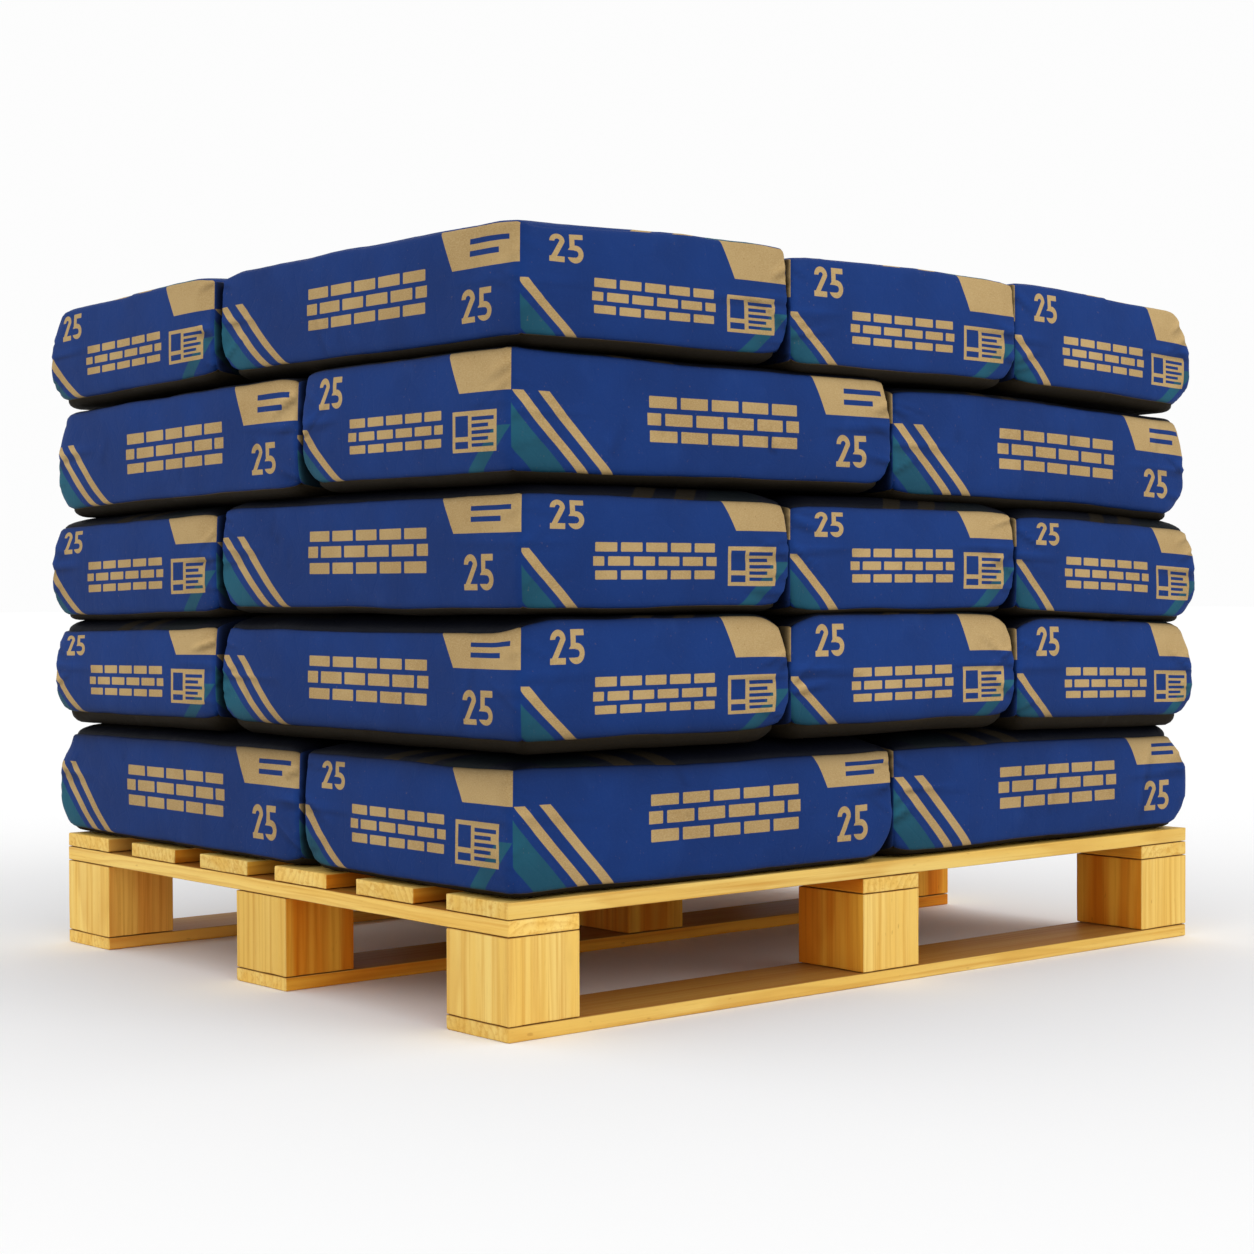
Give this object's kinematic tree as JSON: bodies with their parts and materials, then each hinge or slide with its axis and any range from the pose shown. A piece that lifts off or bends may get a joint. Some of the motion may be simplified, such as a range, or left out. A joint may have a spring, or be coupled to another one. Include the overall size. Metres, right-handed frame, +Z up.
{
  "type": "pallet of sacks",
  "caption": "Loaded block pallet: filled paper sacks of powder laid in interlocking layers on a four-way wooden pallet.",
  "frame": {"origin": "on the floor under the middle of the pallet, at the underside of its middle bottom board", "axes": "+Z up, +X along the pallet's 1.2 m side and its deck boards, +Y along its 1.0 m side"},
  "size_m": [1.2072, 1.0516, 0.8928],
  "materials": {
    "printed_paper": "matt kraft paper with a blue print",
    "pine_boards": "sawn golden pine, grain along the board",
    "pine_blocks": "sawn golden pine blocks"
  },
  "bodies": {
    "root": {"block_1": "pine_blocks", "block_2": "pine_blocks", "block_3": "pine_blocks", "block_4": "pine_blocks", "block_5": "pine_blocks", "block_6": "pine_blocks", "block_7": "pine_blocks", "block_8": "pine_blocks", "block_9": "pine_blocks", "bottom_board_1": "pine_boards", "bottom_board_2": "pine_boards", "bottom_board_3": "pine_boards", "cross_board_1": "pine_boards", "cross_board_2": "pine_boards", "cross_board_3": "pine_boards", "deck_board_1": "pine_boards", "deck_board_2": "pine_boards", "deck_board_3": "pine_boards", "deck_board_4": "pine_boards", "deck_board_5": "pine_boards", "deck_board_6": "pine_boards", "sack_1_1": "printed_paper", "sack_1_2": "printed_paper", "sack_1_3": "printed_paper", "sack_1_4": "printed_paper", "sack_1_5": "printed_paper", "sack_2_1": "printed_paper", "sack_2_2": "printed_paper", "sack_2_3": "printed_paper", "sack_2_4": "printed_paper", "sack_2_5": "printed_paper", "sack_3_1": "printed_paper", "sack_3_2": "printed_paper", "sack_3_3": "printed_paper", "sack_3_4": "printed_paper", "sack_3_5": "printed_paper", "sack_4_1": "printed_paper", "sack_4_2": "printed_paper", "sack_4_3": "printed_paper", "sack_4_4": "printed_paper", "sack_4_5": "printed_paper", "sack_5_1": "printed_paper", "sack_5_2": "printed_paper", "sack_5_3": "printed_paper", "sack_5_4": "printed_paper", "sack_5_5": "printed_paper"}
  },
  "joints": []
}
